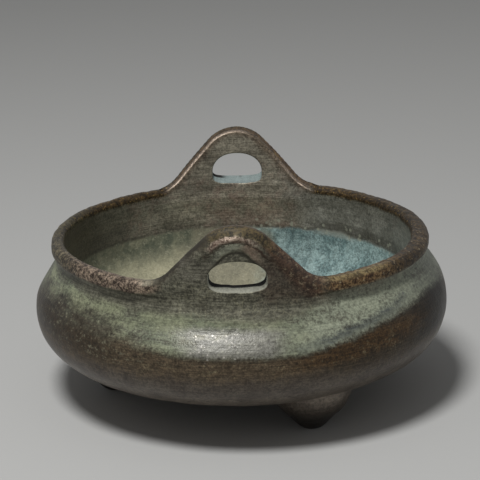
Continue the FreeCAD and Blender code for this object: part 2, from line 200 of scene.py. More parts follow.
# the lip lies this much under the rim, with waves round it: height, turn over which each goes by one
# radian, and start. It takes its level up from this far out on the ears.
LIP_DIP = 0.25
LIP_WAVES = [(0.14, 1 / 3, 1.0), (0.09, 1 / 7, 2.2)]
LIP_LEVEL_FROM = 18
# where an ear goes over into the lip, as distances from the ear's middle
EAR_BLEND = (22, 33)
# swellings of the shoulder: how far out, at what height, and half how high
RIGHT_SLUMP = (0.8, 40, 5)
SHOULDER_HOLLOW = (-1.25, 40.3, 3.2)
SHOULDER_CORNER = (0.4, 34.1, 1.4)
# swellings along a crown: how far out, how far below the edge, and half how wide
BEAD = (1.4, 3.5, 1.4)
CREASE = (-0.26, 4.2, 0.4)
FOLD = (0.42, 6.2, 1.2)
GROOVE = (-0.32, 7.8, 0.5)
# where they fade out, on the left and on the right of the ear's middle, and the waves in their line
BEAD_ENDS = ((6, 15), (7, 20))
FOLD_ENDS = ((4, 9), (5, 11))
BEAD_WAVES = [(0.35, 1.9, 1.0), (0.2, 0.8, 0.0)]
# the bore is this much wider all round, and this much narrower on the right, between two heights
BORE_WIDER = 0.15
BORE_ASIDE = 0.75
BORE_DRIFT_FROM = (20, 38)
# how the top edge is stepped along on each side of an ear's middle, as turns and as a count
EDGE_REACH = 1.65
EDGE_STEPS = 801
NOTCH_COLUMNS = 64
LIP_COLUMNS = 140
BOWL_ROWS = {"belly": 112, "lip": 6, "round": 10, "bore": 9, "dish": 76}
STEP_ROWS = np.array([0, 0.15, 0.3, 0.45, 0.6, 0.8, 1.0])[:, None]
WELD = 0.002
SHORTEST_EDGE = 0.0001
SHARP_ANGLE = np.radians(48)


def climb(value, low, high):
    """Share that climbs smoothly from 0 at low to 1 at high: 3t^2 - 2t^3."""
    share = np.clip((value - low) / (high - low), 0, 1)
    return share * share * (3 - 2 * share)


def swell(value, height, middle, width):
    """Bell curve: the height times e to minus the square of the distance from the middle in widths."""
    return height * np.exp(-((value - middle) / width) ** 2)


def waves(value, parts):
    """Sum of sine waves, each with a height, a length in which it goes by one radian, and a start."""
    return sum(height * np.sin(value / length + start) for height, length, start in parts)


def smooth_through(points, count):
    """Evenly spaced places on a smooth curve through points. Between two points it is the cubic that
    has at each of them the slope from the point before to the point after, measured along the chords."""
    points = np.array(points, float)
    chord = np.concatenate([[0], np.cumsum(np.linalg.norm(np.diff(points, axis=0), axis=1))])
    slope = np.gradient(points, chord, axis=0)
    fine_steps = np.linspace(0, chord[-1], 60 * len(points))
    low = np.clip(np.searchsorted(chord, fine_steps) - 1, 0, len(points) - 2)
    width = np.diff(chord)[low][:, None]
    share = (fine_steps - chord[low])[:, None] / width
    curve = (points[low] * (2 * share ** 3 - 3 * share ** 2 + 1)
             + slope[low] * width * (share ** 3 - 2 * share ** 2 + share)
             + points[low + 1] * (3 * share ** 2 - 2 * share ** 3)
             + slope[low + 1] * width * (share ** 3 - share ** 2))
    length = np.concatenate([[0], np.cumsum(np.linalg.norm(np.diff(curve, axis=0), axis=1))])
    even = np.linspace(0, length[-1], count)
    return np.stack([np.interp(even, length, curve[:, axis]) for axis in range(2)], axis=1)


def lumps(places, size, seed):
    """Smooth random heights from -1 to 1: random numbers on a cubic lattice of that size, blended
    between the eight nearest lattice points by 3t^2 - 2t^3 along each axis."""
    lattice = np.random.default_rng(seed).uniform(-1, 1, (32, 32, 32))
    cell = places / size
    low = np.floor(cell).astype(int)
    share = climb(cell - low, 0, 1)
    height = 0
    for corner in np.ndindex(2, 2, 2):
        weight = np.prod(np.where(corner, share, 1 - share), axis=-1)
        spot = (low + corner) % len(lattice)
        height = height + weight * lattice[spot[..., 0], spot[..., 1], spot[..., 2]]
    return height


def uneven(places):
    """Places moved as an old sand casting is uneven: along each axis by the sum of lumps of three sizes,
    of which the smallest are higher on the lip. Nothing sinks into the ground."""
    level = places[..., 2]
    on_lip = climb(level, SEAT + 0.5, SEAT + 2) * (1 - climb(level, RIM + 0.5, RIM + 4))
    moved = np.copy(places)
    for height, lip_height, size, seed in LUMPS:
        for axis in range(3):
            moved[..., axis] += (height + lip_height * on_lip) * lumps(places, size, seed + axis)
    moved[..., 2] = np.maximum(moved[..., 2], 0)
    return moved


def ear_offset(turn):
    """Distance across, as seen from the front, from the middle of the ear on the same side."""
    centre = np.where(np.cos(turn) > 0, EAR_CENTRES["front"], EAR_CENTRES["back"])
    return MOUTH_RADIUS * np.sin(turn) - centre


def top_edge(turn):
    """Height of the top edge at turns about the axis: the lip is nearly level, and each ear climbs
    from it by a hollow quarter of a circle, a straight flank at 45 degrees and a round crown."""
    away = np.abs(ear_offset(turn))
    bend = np.sqrt(0.5)
    crown = EAR_TOP - CROWN_RADIUS + np.sqrt(np.maximum(CROWN_RADIUS ** 2 - away ** 2, 0))
    hollow = RIM + HOLLOW_RADIUS - np.sqrt(np.maximum(HOLLOW_RADIUS ** 2 - (EAR_HALF - away) ** 2, 0))
    start, stop = CROWN_RADIUS * bend, EAR_HALF - HOLLOW_RADIUS * bend
    high = EAR_TOP - CROWN_RADIUS + CROWN_RADIUS * bend
    low = RIM + HOLLOW_RADIUS * (1 - bend)
    flank = high + (away - start) / (stop - start) * (low - high)
    edge = np.select([away < start, away < stop, away < EAR_HALF], [crown, flank, hollow], RIM)
    return edge + (waves(turn, LIP_WAVES) - LIP_DIP) * climb(away, LIP_LEVEL_FROM, EAR_HALF)


def below_edge(turn, height):
    """Distance from places on the wall to the nearest place of the top edge, across and up, on the wall
    rolled out flat. The edge is stepped along a little more than the half that a place lies in."""
    turn = turn + 0 * height
    away = np.zeros(height.shape)
    steps = np.linspace(-EDGE_REACH, EDGE_REACH, EDGE_STEPS)
    for front in (True, False):
        chosen = (np.cos(turn) >= 0) == front
        edge = top_edge(steps if front else np.pi - steps)
        across = ARC_RADIUS * np.arcsin(np.sin(turn[chosen]))
        apart = np.hypot(across[:, None] - ARC_RADIUS * steps, height[chosen][:, None] - edge)
        away[chosen] = np.where(height[chosen] < top_edge(turn[chosen]), apart.min(axis=1), 0)
    return away


def ear_share(turn):
    """1 where the wall is an ear and 0 where it is the lip."""
    return 1 - climb(np.abs(ear_offset(turn)), *EAR_BLEND)


def turned_in(away, radius):
    """How far a face turns in at a distance from its edge, by a quarter of a circle."""
    share = 1 - np.clip(away / radius, 0, 1)
    return radius * (1 - np.sqrt(1 - share ** 2))


def slumped(turn, height):
    """How far the shoulder stands out past its even outline: by a bell curve that goes as the sine of
    the turn, so that it is fuller on the right, and by a hollow over a soft corner at front and back."""
    return (np.sin(turn) * swell(height, *RIGHT_SLUMP)
            + np.cos(turn) ** 2 * (swell(height, *SHOULDER_HOLLOW) + swell(height, *SHOULDER_CORNER)))


def bore_drift(turn, height):
    """The bore is not quite true: it lies to the left, so the lip is thinner there than on the right."""
    return (BORE_WIDER - BORE_ASIDE * np.sin(turn)) * climb(height, *BORE_DRIFT_FROM)


def outer_face(turn, height, away):
    """Radius of the wall outside, above the seat: the neck, the step out to the lip, and the lean of the
    ears. Along a crown runs a worn bead with a crease, and under it a softer fold with a groove."""
    share = ear_share(turn)
    radius = (NECK_RADIUS + share * OUTER_LEAN * (height - SEAT)
              + (1 - share) * NECK_STEP * climb(height, SEAT, SEAT + STEP_HEIGHT))
    ear_round = np.where(np.cos(turn) > 0, EAR_OUTER_ROUND["front"], EAR_OUTER_ROUND["back"])
    rounded = radius - turned_in(away, LIP_ROUNDS[0] + share * (ear_round - LIP_ROUNDS[0]))
    offset = ear_offset(turn)
    line = away + waves(offset, BEAD_WAVES)
    for ends, parts in ((BEAD_ENDS, (BEAD, CREASE)), (FOLD_ENDS, (FOLD, GROOVE))):
        left_end, right_end = ends
        held = (1 - climb(offset, *right_end)) * (1 - climb(-offset, *left_end))
        rounded = rounded + held * sum(swell(line, *part) for part in parts)
    return rounded + slumped(turn, height)


def inner_face(turn, height, away):
    """Radius of the wall inside, above the seat: a straight bore that leans out inside the ears."""
    share = ear_share(turn)
    radius = BORE_RADIUS + share * INNER_LEAN * (height - SEAT) + bore_drift(turn, height)
    return radius + turned_in(away, LIP_ROUNDS[1] + share * (EAR_INNER_ROUND - LIP_ROUNDS[1]))


def at_turn(turn, radius, height):
    """Places at turns about the axis, counted from the front towards the right."""
    return np.stack([radius * np.sin(turn), -radius * np.cos(turn), height + 0 * radius], axis=-1)


def sheet_mesh(name, places, marks, along=False):
    """Closed mesh of a grid of places. Four neighbours make a face, the last column joins the first,
    and along says that the last row does too. Marks are named numbers that the material reads."""
    rows, columns = places.shape[:2]
    index = np.arange(rows * columns).reshape(rows, columns)
    index = np.hstack([index, index[:, :1]])
    index = np.vstack([index, index[:1]]) if along else index
    faces = np.stack([index[:-1, :-1], index[:-1, 1:], index[1:, 1:], index[1:, :-1]], axis=-1)
    mesh = bpy.data.meshes.new(name)
    mesh.from_pydata((uneven(places).reshape(-1, 3) * METRE).tolist(), [], faces.reshape(-1, 4).tolist())
    for label, values in marks.items():
        mark = mesh.attributes.new(label, "FLOAT", "POINT")
        mark.data.foreach_set("value", (np.zeros(places.shape[:2]) + values).ravel())
    work = bmesh.new()
    work.from_mesh(mesh)
    bmesh.ops.remove_doubles(work, verts=work.verts, dist=WELD * METRE)
    bmesh.ops.dissolve_degenerate(work, edges=work.edges, dist=SHORTEST_EDGE * METRE)
    bmesh.ops.recalc_face_normals(work, faces=work.faces)
    work.to_mesh(mesh)
    work.free()
    mesh.shade_smooth()
    mesh.set_sharp_from_angle(angle=SHARP_ANGLE)
    return mesh


def bowl_sheet():
    """The bowl as one sheet: columns are turns about the axis, and rows go from the middle of the base
    out and up the belly, over the lip, down the bore and in to the middle of the floor. In a notch the
    rows of the lip lie on the flat seat."""
    in_notch = np.linspace(-NOTCH_TURN, NOTCH_TURN, NOTCH_COLUMNS)
    in_lip = np.linspace(NOTCH_TURN, np.pi - NOTCH_TURN, LIP_COLUMNS)
    turn = np.concatenate([in_notch, in_lip, in_notch + np.pi, in_lip + np.pi])[None, :]
    notched = np.tile(np.arange(NOTCH_COLUMNS + LIP_COLUMNS) < NOTCH_COLUMNS, 2)
    edge = top_edge(turn)
    outer_round, inner_round = LIP_ROUNDS
    quarter = 1 - np.cos(np.linspace(0, np.pi / 2, BOWL_ROWS["round"])[:-1])[:, None]

    belly = smooth_through(OUTSIDE, BOWL_ROWS["belly"])[:-1]
    belly_height = belly[:, 1:] + 0 * turn
    belly_radius = belly[:, :1] + slumped(turn, belly_height)
    step = SEAT + STEP_HEIGHT * STEP_ROWS + 0 * turn
    up = np.linspace(0, 1, BOWL_ROWS["lip"])[1:-1, None] * (edge - outer_round - step[-1])
    rise = np.vstack([step, step[-1] + up, edge - outer_round * quarter[::-1]])
    down = np.linspace(0, 1, BOWL_ROWS["bore"])[:-1, None] * (SEAT - edge + inner_round)
    fall = np.vstack([edge - inner_round * quarter, edge - inner_round + down])
    rise_away, fall_away = below_edge(turn, rise), below_edge(turn, fall)
    rise_radius, fall_radius = outer_face(turn, rise, rise_away), inner_face(turn, fall, fall_away)
    over = np.array([1 / 3, 2 / 3])[:, None]
    over_radius = rise_radius[-1:] + over * (fall_radius[:1] - rise_radius[-1:])
    dish = smooth_through(INSIDE, BOWL_ROWS["dish"])
    dish_height = dish[:, 1:] + 0 * turn
    dish_radius = dish[:, :1] + bore_drift(turn, dish_height)

    lip_radius = np.vstack([rise_radius, over_radius, fall_radius])
    lip_height = np.vstack([rise, edge + 0 * over, fall])
    across = np.linspace(0, 1, len(lip_radius))[:, None]
    seat_outer = NECK_RADIUS + slumped(turn, SEAT)
    seat_inner = BORE_RADIUS + bore_drift(turn, SEAT)
    lip_radius = np.where(notched, seat_outer + across * (seat_inner - seat_outer), lip_radius)
    lip_height = np.where(notched, SEAT, lip_height)
    radius = np.vstack([belly_radius, lip_radius, dish_radius])
    height = np.vstack([belly_height, lip_height, dish_height])
    marks = {"edge_distance": np.vstack([edge - belly_height, rise_away, 0 * over_radius, fall_away,
                                         edge - dish_height]),
             "inside": np.vstack([0 * belly_height, 0 * rise, over + 0 * turn, 1 + 0 * fall,
                                  1 + 0 * dish_height])}
    return at_turn(turn, radius, height), marks


def noise(size, detail=4.0, rough=0.55, stretch=(1, 1, 1), shift=0.0):
    """Cloudy pattern from 0 to 1, whose largest forms have that size in millimetres."""
    moved = place.node("Mapping", sockets={"Vector": place, "Location": (shift, shift, shift),
                                           "Scale": tuple(part / size for part in stretch)})
    return moved.node("TexNoise", sockets={"Vector": moved, "Scale": 1.0, "Detail": detail,
                                           "Roughness": rough})


def flecks(size, share, shift=0.0, radius=0.42):
    """Small grains: one in each cell of that size, kept in a share of the cells."""
    moved = place.node("Mapping", sockets={"Vector": place, "Location": (shift, shift, shift)})
    cell = {"Vector": moved, "Scale": 1.0 / size}
    number = place.node("TexVoronoi", out="Color", sockets=cell)
    chance = number.node("SeparateXYZ", out="X", sockets={0: number})
    spot = place.node("TexVoronoi", out="Distance", sockets=cell)
    return (1 - eased(chance, share, share + 0.06)) * (1 - eased(spot, radius * 0.55, radius))


def cracks(size, width, shift):
    """Thin lines between cells of that size, bent by soft noise."""
    bend = place.node("TexNoise", out="Color", sockets={"Vector": place, "Scale": 0.45, "Detail": 2.0})
    bent = bend.node("VectorMath", operation="MULTIPLY_ADD",
                     sockets={0: bend, 1: (size, size, size), 2: place})
    bent = bent.node("Mapping", sockets={"Vector": bent, "Location": (shift, shift, shift)})
    gap = bent.node("TexVoronoi", out="Distance", feature="DISTANCE_TO_EDGE",
                    sockets={"Vector": bent, "Scale": 1.0 / size})
    return 1 - eased(gap, width * 0.4, width)


def near(value, middle, half, soft):
    """Mask of 1 within half of the middle, that fades over soft."""
    return 1 - eased(abs(value - middle), half, half + soft)


def bright(tone, share):
    """Colour made brighter or darker by a share."""
    return tone.node("VectorMath", operation="SCALE", sockets={0: tone, "Scale": share})


# The patina is one material for every piece of the casting. It goes by the place on the object and by
# the marks of the sheets. Colours and places were judged, so a line that lays one on gives where it lies
# in millimetres, how soft its border is, and how much of it shows.
patina = bpy.data.materials.new("patina")
patina.use_nodes = True
patina.node_tree.nodes.clear()
shade = Shade(patina.node_tree)
place = shade.node("VectorMath", operation="SCALE",
                   sockets={0: shade.node("TexCoord", out="Object"), "Scale": 1 / METRE})
x, y, z = [shade.node("SeparateXYZ", out=axis, sockets={0: place}) for axis in "XYZ"]
away, inside, bored = [shade.node("Attribute", out="Fac", attribute_name=label)
                       for label in ("edge_distance", "inside", "bored")]

# patterns from 0 to 1, from the largest to the smallest
cloud = noise(24, 3.0)
blotch = noise(8, 5.0, 0.62, shift=31.0)
smear = noise(6.0, 5.0, 0.62, stretch=(0.4, 0.4, 1.2), shift=67.0)
mottle = noise(2.8, 4.0, 0.6, shift=57.0)
ragged = noise(1.5, 5.0, 0.75, stretch=(0.8, 0.8, 1.3), shift=91.0)
grain = noise(1.1, 3.0, 0.65, shift=83.0)
streak = noise(1.0, 3.0, 0.6, stretch=(0.12, 0.12, 2.6), shift=12.0)
dust = noise(0.55, 2.0, 0.7, shift=23.0)
broad = eased(blotch, 0.36, 0.64)
mixed = blotch * 0.5 + mottle * 0.5
brushed = eased(streak, 0.36, 0.64)
patch = eased(mottle * 0.3 + dust * 0.25 + streak * 0.45, 0.4, 0.6)
scabs = eased(mottle * 0.3 + grain * 0.35 + dust * 0.35, 0.42, 0.58)
speck = eased(grain * 0.55 + dust * 0.45, 0.4, 0.6)
chipped = eased(ragged, 0.56, 0.62)
pitted = 1 - eased(ragged, 0.38, 0.44)

# the same patterns about 0, which make a border wander
drift = (cloud - 0.5) * 2
blur = (blotch - 0.5) * 2
fine = (mottle - 0.5) * 2
sharp = (grain - 0.5) * 1.2 + (dust - 0.5)

# parts of the skin: the front half, its left, the crust on the shoulder and where it is rubbed off, a
# patch laid where the lamp's highlight falls and so partly a painted highlight
forward = eased(y * -1, -8, 24)
backward = 1 - forward
left = eased(x * -1, 14, 44) * forward
rise = (eased(x, 14, 62) * 7.0 + eased(x * -1, 14, 40) * 3.2 + eased(x * -1, 48, 60) * 1.4) * forward
rise = rise + backward * (2.0 + drift * 3.0)
skirt = z + (blur * 1.4 + fine * 0.8) * (1 + left * 0.8) + sharp * 1.1 - rise
shoulder = eased(skirt, 31.9 - left * 1.4, 34.4 + left * 2.2)
top_limit = z - abs(x) * 0.05 - eased(x, 10, 30) * 2.4 + drift * 2.5 + blur * 1.6
covered = 1 - eased(top_limit, 40.8, 44.4)
verdigris = shoulder * covered * eased(smear + sharp * 0.25, 0.26 + left * 0.08, 0.5 + left * 0.1)
rubbed_and_highlight = near(x + blur * 5, -3, 9, 10) * near(z + fine, 36.6, 2.4, 3.0) * forward

# the blue part of the floor, and the wall of the bore above the floor
warped = x + drift * 26 + blur * 7
sky = eased(warped, 4, 20) * eased(abs(x) + abs(y), 26, 58)
junction = z + blur * 0.9 + fine * 0.6 + sharp * 0.4
bore_wall = eased(junction, 36.6, 38.2)

# the lip between the ears, the ears outside, and the worn flanks of the ears
lip = (1 - eased(away + fine * 0.8 + sharp * 0.7 + inside * 1.4, 3.0, 4.4)) * eased(abs(x), 22, 27)
front_lip = eased(y * -1 + blur * 5, -6, 6)
ears = 1 - eased(abs(x), 22, 27)
outer_ear = ears * (1 - eased(inside, 0.75, 0.95))
wavy = away + fine + sharp * 0.9
aside = x + fine * 3 + sharp
spread = eased(x, 3, 17)
flank = (1 - eased(wavy + blur * 1.2 - spread * 2.6 + (1 - spread) * 1.3, 1.8, 4.6)) * outer_ear


def belly_metal():
    """Below the shoulder: brown above bare grey metal, rusty on the right and darker there as painted
    shade, with scratches, chips and soot in a band round the front."""
    band = eased(z + blur * 3.0 + fine * 2.0 + sharp, 23.0, 29.5)
    bare = blend(broad, (82, 74, 66), (100, 92, 82))
    tone = blend(band * 0.9, bare, blend(patch, (74, 63, 48), (98, 84, 65)))
    # painted shade: the band is darker on the right, away from the lamp, and more at the right end
    right_shade = eased(x + blur * 8, 12, 34) * forward
    tone = bright(tone, 1 - (right_shade * 0.46 + eased(x, 40, 62) * 0.22) * band)
    rust_line = z + fine * 1.2 + blur * 2 + sharp * 0.6 - eased(x, 14, 54) * 3
    rust = near(x + blur * 5, 35, 12, 16) * near(rust_line, 31.0, 1.2, 3.2) * forward
    tone = blend(rust * 0.62, tone, blend(patch, (66, 48, 28), (94, 68, 38)))
    scratches = cracks(3.0, 0.07, 5.0) * eased(blotch * 0.6 + mottle * 0.4, 0.5, 0.62) * 0.34
    chips = flecks(0.8, 0.34, 41.0, 0.5) * eased(mixed, 0.42, 0.58) * 0.4
    tone = blend((scratches + chips) * near(z + blur * 2, 32.0, 2.0, 3.6) * forward, tone, (140, 131, 104))
    soot = flecks(0.9, 0.3, 61.0, 0.6) * near(z + blur * 2, 32.6, 1.5, 2.5) * forward
    return blend(soot * 0.5, tone, (40, 34, 26))


def neck_metal():
    """Above the crust: brushed grey metal, lighter on the right, with painted shadow under the lip at the
    right end.
    """
    tone = blend(broad * 0.6 + brushed * 0.4, (76, 74, 62), (118, 116, 101))
    tone = blend(eased(x + blur * 6, 20, 32) * forward * 0.7, tone, (122, 121, 106))
    # painted shadow under the overhanging lip at the right end of the neck
    tone = bright(tone, 1 - eased(x, 47, 58) * eased(z, 44, 46.5) * forward * 0.62)
    return bright(tone, 1 - near(x + blur * 4, 9, 4, 6) * near(z, 45, 1, 3) * forward * 0.16)


def crust_colour():
    """The crust of verdigris on the shoulder: green on the left, buff on the right and rubbed to the
    metal in the middle, a neutral grey that is partly a painted highlight."""
    tone = blend(eased(cloud * 0.35 + smear * 0.65, 0.4, 0.6), (94, 101, 82), (126, 130, 104))
    tone = blend(eased(x + blur * 6, 8, 26) * 0.85, tone, blend(smear, (122, 129, 113), (156, 160, 140)))
    tone = bright(tone, 1 + left * 0.1 + eased(x * -1, 48, 60) * 0.16)
    lighter = near(x + blur * 5, 34, 10, 8) * near(z + blur * 2, 41.5, 1.5, 2.5) * forward
    darker = near(x + blur * 5, -27, 4, 6) * near(z, 39, 2, 3) * forward
    tone = bright(bright(tone, 1 + lighter * 0.14), 1 - darker * 0.12)
    # rubbed metal in the middle of the shoulder, neutral grey where the highlight falls: partly a painted
    # highlight
    return blend(rubbed_and_highlight * 0.7, tone, (128, 124, 121))


def outside_colour():
    """The outside from the bottom up, with a grey patch, rust at the left end, the dark lower line of
    the crust and its torn part on the left, painted shade at both ends and underneath, and a painted sheen
    on the lower belly just above."""
    tone = blend(shoulder, belly_metal(), neck_metal())
    tone = blend(verdigris * 0.92, tone, crust_colour())
    grey = near(x + blur * 12, 34, 8, 14) * near(skirt + blur * 1.4, 34.9, 0.3, 1.9) * forward
    tone = blend(grey * (0.5 + brushed * 0.4), tone, (68, 72, 71))
    left_rust = near(x, -57, 10, 16) * near(z + blur * 3 + sharp, 34.5, 4.0, 5.0) * eased(y * -1, -10, 12)
    tone = blend(left_rust * (0.45 + patch * 0.5), tone, (54, 45, 34))
    dark_line = near(skirt + sharp * 0.5, 32.8, 0.3, 0.9) * forward * eased(mottle, 0.35, 0.6)
    tone = blend(dark_line * 0.55, tone, (46, 40, 32))
    torn = left * near(z + blur * 2, 37, 6.5, 4.5)
    tone = blend(torn * chipped * 0.34, tone, (158, 156, 132))
    tone = blend(torn * pitted * 0.6, tone, (42, 40, 32))
    tone = bright(tone, 0.68 + speck * 0.54 + verdigris * (0.06 - speck * 0.1))
    tone = bright(tone, 0.88 + brushed * 0.24)
    # painted shade: both ends of the belly are darker, the right one more
    right_end = eased(x, 48, 62) * near(z, 36.0, 6.0, 4.0)
    left_end = eased(x * -1, 52, 63) * near(z, 33.5, 2.5, 3.0)
    tone = bright(tone, 1 - (right_end * 0.66 + left_end * 0.3) * forward)
    # painted shade under the bowl and on the feet, and a painted sheen on the lower belly above it
    return bright(tone, 0.36 + eased(z, 4, 13) * 1.14 - eased(z, 16, 22) * 0.5)


def floor_colour():
    """The floor: olive on the left, buff in the middle and blue on the right, with a cream bloom at the
    back, lighter chips and darker pits on the slope, and darker towards the wall."""
    olive = blend(eased(blotch + fine * 0.3, 0.3, 0.7), (92, 97, 82), (132, 131, 109))
    blue = blend(eased(blotch + fine * 0.35 + sharp * 0.2, 0.3, 0.7), (95, 118, 118), (138, 160, 158))
    tone = blend(near(warped, -2, 7, 16) * 0.8, olive, (128, 123, 104))
    cream = near(x + blur * 8, -32, 10, 12) * (1 - eased(z + blur * 2, 25, 34)) * eased(y, 10, 24)
    tone = blend(cream * 0.8, tone, (172, 167, 140))
    tone = blend(sky, tone, blue)
    tone = bright(tone, 1 - near(x + blur * 4, 20, 4, 6) * eased(y, 34, 44) * 0.2)
    tone = bright(tone, 1.34 - z * 0.0105)
    tone = bright(tone, 1 + (speck - 0.5) * (0.26 + sky * 0.34) + (broad - 0.5) * 0.16)
    slope = eased(z, 15, 22)
    tone = blend(chipped * slope * 0.3, tone, blend(sky, (186, 182, 158), (160, 176, 172)))
    return blend(pitted * slope * 0.24, tone, (70, 76, 68))


def bore_colour():
    """The wall of the bore: brushed grey-brown with reddish clouds, cooler on the right, dull and darker
    at the left end as painted shade, light under the rim, dark above the floor behind the front ear, and
    darker in a band above the floor on the right."""
    tone = blend(broad * 0.6 + brushed * 0.4, (100, 94, 82), (140, 134, 118))
    tone = blend(eased(cloud * 0.6 + mottle * 0.4, 0.5, 0.62) * 0.5, tone, (124, 104, 92))
    tone = blend(eased(x + blur * 8, 10, 30) * 0.7, tone, blend(broad, (98, 100, 94), (122, 124, 118)))
    # painted shade: the left end of the bore, which faces away from the lamp, is dull and darker
    tone = blend(1 - eased(x + blur * 6, -52, -28), tone, (88, 83, 70))
    tone = bright(tone, 1 + near(x + blur * 8, -5, 13, 10) * near(z + blur * 2, 46.5, 2.0, 3.0) * 0.34)
    tone = bright(tone, 1 - near(x + blur * 6, -14, 22, 8) * (1 - eased(z + blur, 38.5, 41.5)) * 0.2)
    tone = bright(tone, (0.7 + speck * 0.5) * (0.88 + patch * 0.24))
    # a darker band just above the floor on the right
    right_dark_band = near(x + fine * 4, 42, 12, 10) * near(z + fine * 0.8, 39.5, 0.8, 1.6)
    return blend(right_dark_band * 0.6, tone, (58, 56, 50))


def inside_colour():
    """The inside from the floor up, with painted shade at the back left. Where the floor meets the wall, a
    dark line runs round, with salts on the right."""
    tone = blend(bore_wall, floor_colour(), bore_colour())
    # painted shade at the back left, where the left wall keeps the lamp off
    back_left_shade = eased(x * -1 + blur * 4, 30, 44) * near(z + blur, 37.5, 3.5, 4) * eased(y, 0, 20)
    tone = bright(tone, 1 - back_left_shade * 0.3)
    salted = near(x + blur * 4, 33, 4, 5) * near(junction, 37.2, 0.6, 1.0) * eased(y, 20, 36)
    tone = blend(salted * 0.5, tone, (148, 152, 142))
    dark_line = (1 - salted) * near(junction, 37.9, 0.2, 0.7) * eased(mixed, 0.4, 0.6)
    return blend(dark_line * 0.6, tone, (44, 42, 34))


def lip_colour():
    """The crust on the lip: ochre at the back, pink on the front left and worn brown on the front right,
    dark at both ends, with a painted highlight on the smooth rounding beside the front ear, and rubbed
    smooth in a strip along the right."""
    right = eased(x + blur * 5, -6, 6)
    pink = blend(scabs, (72, 60, 50), (138, 122, 106))
    worn = blend(scabs, (64, 44, 30), (120, 98, 68))
    tone = blend(front_lip, blend(scabs, (50, 40, 26), (88, 70, 42)), blend(right, pink, worn))
    tone = blend(eased(x, 38, 50) * 0.9, tone, blend(scabs, (40, 32, 22), (76, 62, 42)))
    tone = blend(eased(x * -1, 46, 56) * 0.8, tone, blend(scabs, (42, 39, 30), (98, 92, 70)))
    tone = bright(tone, (0.56 + speck * 0.76) * (0.84 + broad * 0.36))
    # painted highlight on the smooth rounding of the lip beside the front ear
    rounding_highlight = front_lip * near(x + fine * 2, -25.5, 2.0, 3.5) * near(away + sharp * 0.4, 0.3, 0.5, 0.9)
    tone = blend(rounding_highlight * 0.75, tone, (146, 140, 122))
    strip = front_lip * right * near(away + sharp * 0.8, 0.2, 0.3, 0.9) * near(x + fine * 4, 34, 5, 8)
    return blend(strip * (1 - inside) * (0.2 + scabs * 0.6), tone, (150, 136, 98))


def with_crown(tone):
    """Colour with the outside of the ears laid over it: flanks brown on the left and ridged red on the
    right, and at the crown a dark crest, a light coppery line that is partly a painted highlight, a dark
    red line that is partly painted shade in the crease, a pale fold that is partly painted light, and a
    dark groove."""
    ridges = eased(wavy.maths("SINE", wavy * 3.4), -0.6, 0.8)
    red = blend(ridges * (0.15 + broad * 0.25) + scabs * 0.6, (42, 29, 23), (116, 86, 64))
    tone = bright(tone, 1 + outer_ear * eased(z, 44, 50) * (speck - 0.5) * 0.5)
    tone = blend(flank * 0.85, tone, blend(eased(aside, -5, 5), (64, 58, 46), red))
    crest = near(aside, 0, 7, 5) * outer_ear
    tone = blend(crest * (1 - eased(wavy, 1.9, 2.9)) * 0.9, tone, blend(scabs, (36, 32, 22), (94, 82, 54)))
    # coppery wear on the bead, made lighter as a painted highlight
    worn_highlight_line = crest * near(wavy, 3.1, 0.4, 0.7) * near(aside, -3, 4, 5)
    tone = blend(worn_highlight_line * 0.8, tone, blend(speck, (98, 76, 64), (176, 156, 140)))
    # red line in the crease under the bead, darkened as painted shade
    red_crease_shade = crest * near(wavy, 4.2, 0.15, 0.7) * eased(mottle, 0.3, 0.5)
    tone = blend(red_crease_shade * 0.85, tone, (58, 36, 27))
    # pale grey-green fold, made lighter as painted light on its upper side
    pale = bright(blend(eased(aside, -2, 3), (150, 152, 134), (140, 120, 104)), 0.84 + scabs * 0.6)
    fold = near(wavy + sharp, 5.7, 0.5, 1.6) * near(aside, -1, 4, 5) * (0.5 + brushed * 0.4)
    tone = blend(outer_ear * fold, tone, pale)
    left_edge = outer_ear * (1 - eased(away + sharp * 0.4, 0.7, 1.5)) * eased(x * -1, 7, 11)
    tone = blend(left_edge * 0.7, tone, (38, 35, 28))
    right_tint = near(aside, 14, 5, 6) * near(z + fine, 55, 5, 5) * outer_ear
    tone = blend(right_tint * 0.6, tone, blend(scabs, (54, 42, 36), (88, 70, 60)))
    left_tint = near(aside, -13, 3, 4) * near(z + fine * 2, 58, 2, 3) * outer_ear
    tone = blend(left_tint * 0.4, tone, blend(patch, (84, 80, 72), (132, 128, 116)))
    groove = near(away + fine * 0.6 + sharp * 0.4, 7.8, 0.12, 0.55) * near(aside, -1, 5, 4) * outer_ear
    return blend(groove * (0.5 + scabs * 0.4), tone, (44, 40, 32))


def with_edges(tone):
    """Colour with the top edges laid over it: the ears are dark on top and worn brown on their inner
    face, with a light line of worn metal and painted highlight along the back ear, and a dark line runs
    inside the lip."""
    top = ears * near(inside, 0.45, 0.25, 0.2) * (1 - eased(away, 0.3, 1.0))
    tone = blend(top * (0.4 + backward * 0.5), tone, blend(scabs, (44, 36, 26), (88, 72, 52)))
    worn_face = ears * inside * (1 - eased(away + fine * 2 + sharp, 0.5, 3.5))
    tone = blend(worn_face * 0.7, tone, blend(scabs, (58, 46, 34), (98, 80, 62)))
    # painted highlight: the worn inner edge of the back ear is made light where it faces the lamp
    lit = near(aside, -11, 12, 4) + near(aside, 19, 3, 3) * 0.7
    worn_highlight_line = ears * backward * eased(inside, 0.8, 1.0) * (1 - eased(away + sharp * 0.3, 0.25, 0.65))
    tone = blend(worn_highlight_line * lit * 0.6, tone, (150, 134, 120))
    lip_line = near(away, 0.5, 0.1, 0.5) * inside * (1 - ears) * eased(mottle, 0.4, 0.6)
    return blend(lip_line * 0.6, tone, (40, 34, 26))


